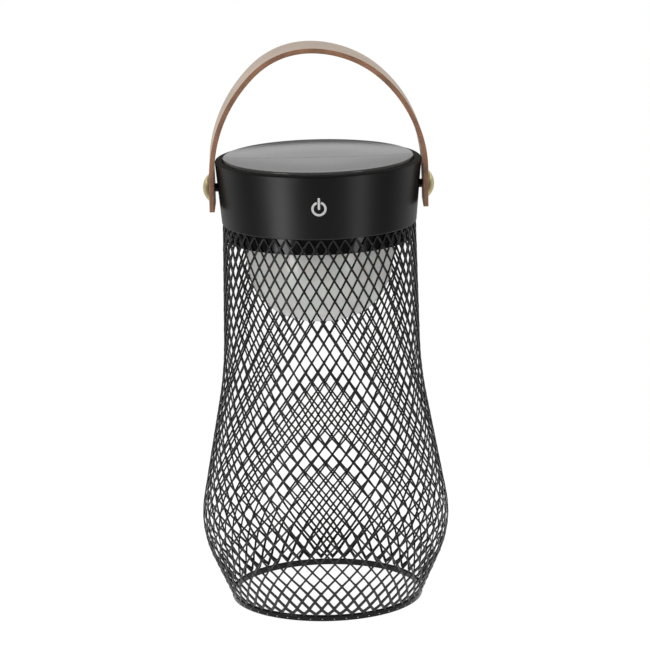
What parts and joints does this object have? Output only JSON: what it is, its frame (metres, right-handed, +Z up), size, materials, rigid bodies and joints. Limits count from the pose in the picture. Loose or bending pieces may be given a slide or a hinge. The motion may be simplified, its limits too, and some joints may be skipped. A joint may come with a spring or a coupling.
{
  "type": "lantern table lamp",
  "caption": "Portable solar table lantern: flared black expanded-metal cage, drum head with touch switch and solar lid, frosted bowl light, swinging leather strap handle.",
  "frame": {"origin": "centre of the bottom rim, on the surface that the lamp stands on", "axes": "+Z up along the lamp's axis; +X along the handle's pivot axis, to the right seen from the switch; -Y towards the viewer, the side of the touch switch"},
  "size_m": [0.1296, 0.1296, 0.2919],
  "materials": {
    "black_metal": "satin",
    "head_plastic": "satin",
    "smoked_lens": "satin",
    "black_rubber": "matte",
    "solar_cell": "satin",
    "copper": "satin",
    "green_board": "satin",
    "cell_sleeve": "gloss",
    "white_board": "matte",
    "diode_yellow": "matte",
    "frosted_plastic": "matte",
    "strap_leather": "matte",
    "rivet_brass": "polished",
    "bush_plastic": "satin",
    "screw_steel": "satin"
  },
  "bodies": {
    "lamp": {"cage_mesh": "black_metal", "cage_collar": "black_metal", "cage_bottom_rim": "black_metal", "head_housing": "head_plastic", "base_plate": "head_plastic", "base_screws": "screw_steel", "solar_lens": "smoked_lens", "lens_seal": "black_rubber", "solar_panel_front": "solar_cell", "solar_panel_rear": "solar_cell", "touch_pad": "copper", "circuit_board": "green_board", "board_components": "black_rubber", "board_screws": "screw_steel", "battery_cell": "cell_sleeve", "battery_cradle": "head_plastic", "battery_contacts": "screw_steel", "light_board": "white_board", "light_diodes": "diode_yellow", "diffuser_bowl": "frosted_plastic", "diffuser_ring": "head_plastic", "rivet_left": "rivet_brass", "rivet_right": "rivet_brass", "bush_left": "bush_plastic", "bush_right": "bush_plastic", "post_nut_left": "screw_steel", "post_nut_right": "screw_steel"},
    "handle": {"strap_handle": "strap_leather"}
  },
  "joints": [
    {"name": "handle_swing", "type": "hinge", "parent": "lamp", "child": "handle", "pos_m": [0, 0, 0.219], "axis": [1, 0, 0], "range_deg": [-115, 115]}
  ]
}
